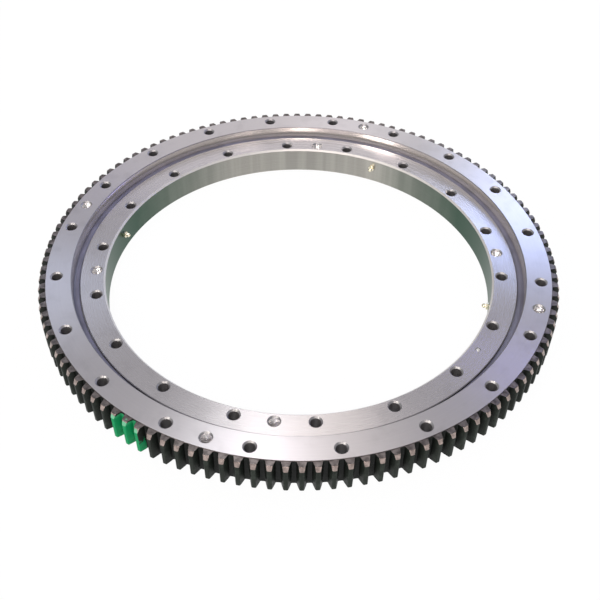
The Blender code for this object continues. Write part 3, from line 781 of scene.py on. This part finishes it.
def mark_painted_teeth(piece, sizes):
    """A vertex value that is 1 on the marked teeth and in the gaps between them, and fades on their ends."""
    mesh = piece.data
    place = np.empty(len(mesh.vertices) * 3, np.float32)
    mesh.vertices.foreach_get("co", place)
    x, y, z = place.reshape(-1, 3).T
    angle = np.arctan2(y, x) % math.tau
    radius = np.hypot(x, y)
    step = math.tau / TEETH
    land = half_tooth(sizes.tip_radius, sizes) * 1.1
    first = FIRST_TOOTH + PAINTED_TEETH[0] * step - land
    last = FIRST_TOOTH + PAINTED_TEETH[1] * step + land
    margin = 0.1 * MM
    inside = (angle > first) & (angle < last) & (radius > sizes.face_radius - margin)
    bevel_top = OUTER_TOP - sizes.tooth_step - sizes.edge_break
    value = np.where(z < bevel_top - margin, 1.0, PAINT_ON_ENDS) * inside
    beside = (angle >= last) & (angle < last + step * 0.3) & (radius > sizes.face_radius + 2 * MM)
    low = np.clip((bevel_top - z) / (bevel_top - OUTER_BOTTOM), 0, 1)
    value += low * PAINT_BESIDE * beside
    mesh.attributes.new("painted", "FLOAT", "POINT").data.foreach_set("value", value.astype(np.float32))


# Operators


class RING_OT_outer_ring(bpy.types.Operator):
    """Make the toothed outer ring with its holes, wall and race"""

    bl_idname = "ring.outer_ring"
    bl_label = "Outer gear ring"

    def execute(self, context):
        sizes = context.scene.ring_sizes
        cells = Cells(OUTER_FIRST_HOLE, OUTER_CELLS, OUTER_CELL_HALF)
        upper, upper_low, _, _ = groove_heights()
        small = sizes.edge_break
        inner_edge = sizes.outer_wall + sizes.edge_chamfer
        lower_edge = sizes.root_radius - 4 * sizes.lower_chamfer
        sheets = (Face(sizes.outer_circle, OUTER_TOP, -1), Face(sizes.outer_circle, OUTER_BOTTOM, 1))
        spans = ((inner_edge, sizes.face_radius - small), (sizes.outer_land, lower_edge))
        surfaces, step_foot, lower_loop = gear_surfaces(sizes)
        surfaces += ring_faces(cells, sheets, spans, OUTER_TAPPED, sizes)
        step_top = [(sizes.face_radius - small, OUTER_TOP), (sizes.face_radius, OUTER_TOP - small)]
        back = sizes.outer_wall + sizes.groove_depth
        wall_top = OUTER_TOP - sizes.edge_chamfer
        brink = [(inner_edge, OUTER_TOP), (sizes.outer_wall, wall_top)]
        wall = [(sizes.outer_wall, height) for height in np.linspace(wall_top, upper, WALL_ROWS)]
        groove = [(sizes.outer_wall, upper), (back, upper), (back, upper_low), (sizes.outer_land, upper_low)]
        groove += race(1, sizes) + [(sizes.outer_land, OUTER_BOTTOM)]
        turned = ((step_top, EDGE), (brink, EDGE), (wall, WALL), (groove, GROOVE))
        surfaces += [lathe(cells.angles, profile, slot) for profile, slot in turned]
        ledge = round_points(sizes.face_radius, cells.angles, OUTER_TOP - small)
        rim_below = round_points(lower_edge, cells.angles, OUTER_BOTTOM)
        surfaces += [zip_loops(ledge, step_foot, END), zip_loops(rim_below, lower_loop, WALL)]
        finishes = steel_finishes(context.scene.ring_colours, 0.33)
        piece = make_piece("gear_ring", surfaces, finishes, "outer_ring_body",
                           ["outer_gear_ring"])
        mark_painted_teeth(piece, sizes)
        return {"FINISHED"}


class RING_OT_inner_ring(bpy.types.Operator):
    """Make the inner ring with its holes, race and bore"""

    bl_idname = "ring.inner_ring"
    bl_label = "Inner ring"

    def execute(self, context):
        sizes = context.scene.ring_sizes
        cells = Cells(INNER_FIRST_HOLE, INNER_CELLS, INNER_CELL_HALF)
        _, upper_low, lower_high, lower = groove_heights()
        small = sizes.edge_break
        outer_edge = sizes.inner_wall - sizes.edge_chamfer
        bore_edge = sizes.bore_radius + sizes.bore_chamfer
        foot_edge = sizes.bore_radius + sizes.foot_chamfer
        sheets = (Face(sizes.inner_circle, INNER_TOP, -1), Face(sizes.inner_circle, 0.0, 1))
        spans = ((bore_edge, outer_edge), (foot_edge, sizes.inner_foot - small))
        bore = Wall(sizes.bore_radius, RACE_HEIGHT)
        bore_levels = np.linspace(sizes.foot_chamfer, INNER_TOP - sizes.bore_chamfer, FINE + 1)
        surfaces = ring_faces(cells, sheets, spans, INNER_TAPPED, sizes, {PIN_CELL: PIN_BORE})
        surfaces += holed_sheet(cells, bore_levels, bore, {PIN_CELL: PLUG_BORE}, BORE)
        angle = cells.centres[PIN_CELL]
        blind = ((sheets[0], PIN_BORE, PIN_BORE_DEPTH), (bore, PLUG_BORE, PLUG_BORE_DEPTH))
        for sheet, radius, depth in blind:
            side = barrel(sheet, angle, [(radius, 0.0), (radius, depth)], DRILLED)
            surfaces += [side, fan(side[0][RIM:], sheet.lift(angle, 0.0, 0.0, depth), DRILLED)]
        bore_rim = [(bore_edge, INNER_TOP), (sizes.bore_radius, bore_levels[-1])]
        bore_foot = [(sizes.bore_radius, bore_levels[0]), (foot_edge, 0.0)]
        back = sizes.inner_foot - sizes.groove_depth
        brink = [(outer_edge, INNER_TOP), (sizes.inner_wall, INNER_TOP - sizes.edge_chamfer)]
        side = [brink[1], (sizes.inner_wall, upper_low), (sizes.inner_land, upper_low)]
        side += race(-1, sizes)
        side += [(sizes.inner_land, lower_high), (back, lower_high), (back, lower), (sizes.inner_foot, lower),
                 (sizes.inner_foot, small), (sizes.inner_foot - small, 0.0)]
        turned = ((bore_rim, RING_RIM), (bore_foot, WALL), (brink, EDGE), (side, GROOVE))
        surfaces += [lathe(cells.angles, profile, slot) for profile, slot in turned]
        finishes = steel_finishes(context.scene.ring_colours, 0.27)
        make_piece("inner_ring_steel", surfaces, finishes, "inner_ring_body", ["inner_ring"])
        return {"FINISHED"}


class RING_OT_seals(bpy.types.Operator):
    """Make the two rubber seal rings, whose outer side swells by crown x sin(pi t) ^ 0.8 from wall to lip"""

    bl_idname = "ring.seals"
    bl_label = "Seals"

    def execute(self, context):
        sizes = context.scene.ring_sizes
        upper, upper_low, lower_high, lower = groove_heights()
        rubber = rubber_finish(context.scene.ring_colours)
        angles = math.tau * np.arange(SEAL_COLUMNS) / SEAL_COLUMNS
        share = np.linspace(0, 1, SEAL_ROWS)
        swell = np.sin(math.pi * share) ** 0.8
        seals = (
            ("upper", "outer_ring_body", 1, sizes.outer_wall, sizes.inner_wall, upper, upper_low),
            ("lower", "inner_ring_body", -1, sizes.inner_foot, sizes.outer_land, lower, lower_high),
        )
        for name, body, up, seat, facing, mouth, floor in seals:
            wall, lip = seat - up * SEAL_FIT, facing + up * LIP_GAP
            back = seat + up * (sizes.groove_depth - SEAL_FIT)
            outer, inner = mouth - up * SEAL_FIT, floor + up * SEAL_FIT
            crown = zip(wall + (lip - wall) * share, outer - up * (LIP_DROP * share - CROWN * swell))
            section = [(back, outer), *crown, (lip, inner), (back, inner), (back, outer)]
            make_piece(f"{name}_seal_ring", [lathe(angles, section, 0)], [rubber], body,
                       [f"{name}_seal"])
        return {"FINISHED"}


class RING_OT_plug(bpy.types.Operator):
    """Make the loading plug in the bore wall and the taper pin that locks it"""

    bl_idname = "ring.plug"
    bl_label = "Loading plug and pin"

    def execute(self, context):
        sizes = context.scene.ring_sizes
        colours = context.scene.ring_colours
        angle = INNER_FIRST_HOLE + math.tau * PIN_CELL / INNER_CELLS
        dull = machined("plug_steel", colours.bore, 0.28, 0.0009, 0.08, 0.00004)
        bore = Wall(sizes.bore_radius, RACE_HEIGHT)
        surfaces = peg(bore, angle, np.array(PLUG_PROFILE) * MM)
        make_piece("plug_steel", surfaces, [dull], "inner_ring_body", ["loading_plug"])
        bright = machined("pin_steel", colours.turned, 0.25, 0.0006, 0.05, 0.00002)
        top = Face(sizes.inner_circle, PIN_HIGH[2], -1)
        chamfer, taper = 0.6 * MM, 0.1 * MM
        rows = [(PIN_RADIUS - chamfer, 0.0), (PIN_RADIUS, chamfer), (PIN_RADIUS - taper, PIN_LENGTH)]
        surfaces = peg(top, angle, rows)
        make_piece("taper_pin", surfaces, [bright], "inner_ring_body", ["plug_taper_pin"])
        return {"FINISHED"}


NIPPLE_ROWS = (  # from its seat to its tip: height and radius in millimetres, and share of hexagon
    (0.0, 3.9, 0.0), (0.3, 3.9, 0.0), (0.3, 4.5, 0.0), (0.7, 4.5, 1.0), (3.9, 4.5, 1.0), (4.3, 4.5, 0.0),
    (4.3, 3.0, 0.0), (4.8, 2.5, 0.0), (6.0, 2.4, 0.0), (6.6, 2.9, 0.0), (7.2, 3.3, 0.0), (8.2, 3.2, 0.0),
    (9.2, 2.6, 0.0), (10.0, 1.9, 0.0), (10.4, 1.3, 0.0), (10.4, 0.7, 0.0), (9.8, 0.5, 0.0),
)


class RING_OT_nipples(bpy.types.Operator):
    """Make the grease nipples that stand in the bore"""

    bl_idname = "ring.nipples"
    bl_label = "Grease nipples"

    def execute(self, context):
        sizes = context.scene.ring_sizes
        brass = machined("brass", context.scene.ring_colours.brass, 0.25, 0.0008, 0.06, 0.00003)
        level = Face(sizes.bore_radius, RACE_HEIGHT, 1)
        height, radius, hexagon = (np.array(NIPPLE_ROWS) * (MM, MM, 1.0)).T
        swing = math.tau * np.arange(RIM) / RIM
        corner = 1 / np.cos((swing + math.pi / 6) % (math.pi / 3) - math.pi / 6)
        blunt = 1.13  # corner of the hexagon, as a share of the distance to its flats
        reach = radius[:, None] * (1 + (np.minimum(corner, blunt) - 1) * hexagon[:, None])
        for index, cell in enumerate(NIPPLE_CELLS):
            angle = INNER_FIRST_HOLE + math.tau * cell / INNER_CELLS
            points = level.lift(angle, reach * np.sin(swing), -height[:, None], reach * np.cos(swing))
            make_piece(f"nipple_{index + 1}", capped_grid(points, 0, points[[0, -1]].mean(axis=1)), [brass],
                       "inner_ring_body", [f"grease_nipple_{index + 1}"])
        return {"FINISHED"}


class RING_OT_balls(bpy.types.Operator):
    """Make the balls and their cage strips"""

    bl_idname = "ring.balls"
    bl_label = "Balls and cage"

    def execute(self, context):
        sizes = context.scene.ring_sizes
        colours = context.scene.ring_colours
        nylon = machined("cage_nylon", colours.nylon, 0.5, 0.0011, 0.05, 0.00003, 0.0)
        steel = machined("ball_steel", colours.turned, 0.12, 0.0015, 0.03, 0.00001)
        segments = sorted(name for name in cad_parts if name.startswith("cage_segment"))
        step = math.tau / len(segments)
        latitude = np.linspace(-math.pi / 2, math.pi / 2, BALL_ROWS)[1:-1, None]
        longitude = math.tau * np.arange(BALL_COLUMNS) / BALL_COLUMNS
        sphere = sizes.ball_radius * round_points(np.cos(latitude), longitude, np.sin(latitude))
        poles = np.outer((-1, 1), (0.0, 0.0, sizes.ball_radius))
        balls = (np.arange(BALLS_PER_SEGMENT) - (BALLS_PER_SEGMENT - 1) / 2) * step / BALLS_PER_SEGMENT
        half, tall = CAGE_HALF_WIDTH, CAGE_HALF_HEIGHT
        corners = [(half, tall), (-half, tall), (-half, -tall), (half, -tall)]
        for index, node in enumerate(segments):
            share = np.linspace(-0.5, 0.5, STRIP_ROWS)
            along = step * index + (step - CAGE_GAP / sizes.ball_circle) * share
            loops = [round_points(sizes.ball_circle + out, along, RACE_HEIGHT + up) for out, up in corners]
            strip = np.stack(loops, axis=1)
            surfaces = capped_grid(strip, 0, strip[[0, -1]].mean(axis=1))
            for ball in balls + step * index:
                centre = round_points(sizes.ball_circle, ball, RACE_HEIGHT)
                surfaces += capped_grid(sphere + centre, 1, poles + centre)
            make_piece(f"cage_and_balls_{index + 1:02d}", surfaces, [nylon, steel], "ball_train",
                       [node])
        return {"FINISHED"}


def lamp(name, elevation, azimuth, radiance):
    """A far round lamp. Strength = radiance x pi sin^2 of the softbox half angle, in red, green and blue."""
    elevation, azimuth = math.radians(elevation), math.radians(azimuth)
    data = bpy.data.lights.new(name, "SUN")
    data.angle = LAMP_ANGLE
    data.energy = max(radiance) * math.pi * math.sin(SOFTBOX_HALF_ANGLE) ** 2
    data.color = [level / max(radiance) for level in radiance]
    body = add_object(name, data)
    towards = Vector(round_points(math.cos(elevation), azimuth, math.sin(elevation)))
    body.location = towards
    body.rotation_euler = towards.to_track_quat("Z", "Y").to_euler()


def camera():
    """The camera at the photograph's angle: it looks down at 44.8 degrees and is rolled by half a degree."""
    data = bpy.data.cameras.new("camera")
    data.sensor_width = 36.0
    data.lens = CAMERA_LENS
    data.clip_end = 50.0
    body = add_object("camera", data)
    tilt = Matrix.Rotation(math.pi / 2 - CAMERA_PITCH, 4, "X")
    body.matrix_world = Matrix.Translation(CAMERA_PLACE) @ tilt @ Matrix.Rotation(CAMERA_ROLL, 4, "Z")
    bpy.context.scene.camera = body


def make_floor(colour):
    """A round floor: white where the camera or a mirror sees it, but for the faint shadow of the object."""
    angles = math.tau * np.arange(FLOOR_COLUMNS) / FLOOR_COLUMNS
    loop = round_points(FLOOR_RADIUS, angles, FLOOR_HEIGHT)
    points, triangles, _ = fan(loop, (0.0, 0.0, FLOOR_HEIGHT), 0)
    mesh = bpy.data.meshes.new("floor")
    mesh.from_pydata(points, [], triangles.tolist())
    material = bpy.data.materials.new("floor")
    material.use_nodes = True
    tree = material.node_tree
    tree.nodes.clear()
    shaded = add_node(tree, "ShaderNodeBsdfDiffuse", {0: (*colour, 1.0)}).outputs[0]
    white = add_node(tree, "ShaderNodeEmission").outputs[0]
    rays = add_node(tree, "ShaderNodeLightPath").outputs
    views = {0: rays["Is Camera Ray"], 1: rays["Is Glossy Ray"]}
    seen = add_node(tree, "ShaderNodeMath", views, operation="MAXIMUM").outputs[0]
    share = add_node(tree, "ShaderNodeMath", {0: seen, 1: WHITE_SHARE}, operation="MULTIPLY").outputs[0]
    blend = add_node(tree, "ShaderNodeMixShader", {0: share, 1: shaded, 2: white}).outputs[0]
    add_node(tree, "ShaderNodeOutputMaterial", {0: blend})
    mesh.materials.append(material)
    floor = add_object("floor", mesh)


def make_world():
    """Even light from all round, and plain white where the camera looks past the floor."""
    world = bpy.data.worlds.new("studio")
    world.use_nodes = True
    tree = world.node_tree
    sky = tree.nodes["Background"]
    fill(tree, sky, {0: WHITE, 1: SKY_STRENGTH})
    backdrop = add_node(tree, "ShaderNodeBackground", {0: WHITE}).outputs[0]
    rays = add_node(tree, "ShaderNodeLightPath").outputs
    sides = {0: rays["Is Camera Ray"], 1: sky.outputs[0], 2: backdrop}
    blend = add_node(tree, "ShaderNodeMixShader", sides).outputs[0]
    fill(tree, tree.nodes["World Output"], {0: blend})
    bpy.context.scene.world = world


class RING_OT_stage(bpy.types.Operator):
    """Set the floor, the lamps, the world and the camera"""

    bl_idname = "ring.stage"
    bl_label = "Studio"

    def execute(self, context):
        camera()
        make_floor(context.scene.ring_colours.floor)
        make_world()
        for settings in LAMPS:
            lamp(*settings)
        context.scene.view_settings.view_transform = "Standard"
        return {"FINISHED"}


class RING_PT_panel(bpy.types.Panel):
    """Steps, sizes and colours of the slewing ring"""

    bl_idname = "RING_PT_panel"
    bl_label = "Slewing ring"
    bl_space_type = "VIEW_3D"
    bl_region_type = "UI"
    bl_category = "Slewing ring"

    def draw(self, context):
        for operator in OPERATORS:
            self.layout.operator(operator.bl_idname)
        for group in (context.scene.ring_sizes, context.scene.ring_colours):
            box = self.layout.box()
            for key in group.__annotations__:
                box.prop(group, key)


OPERATORS = (RING_OT_outer_ring, RING_OT_inner_ring, RING_OT_seals, RING_OT_plug, RING_OT_nipples,
             RING_OT_balls, RING_OT_stage)
CLASSES = (RingSizes, RingColours, *OPERATORS, RING_PT_panel)


def register():
    for cls in CLASSES:
        bpy.utils.register_class(cls)
    bpy.types.Scene.ring_sizes = bpy.props.PointerProperty(type=RingSizes)
    bpy.types.Scene.ring_colours = bpy.props.PointerProperty(type=RingColours)


def unregister():
    del bpy.types.Scene.ring_colours
    del bpy.types.Scene.ring_sizes
    for cls in reversed(CLASSES):
        bpy.utils.unregister_class(cls)


def main():
    register()
    bpy.ops.ring.outer_ring()
    bpy.ops.ring.inner_ring()
    bpy.ops.ring.seals()
    bpy.ops.ring.plug()
    bpy.ops.ring.nipples()
    bpy.ops.ring.balls()
    bpy.ops.ring.stage()


if __name__ == "__main__":
    main()
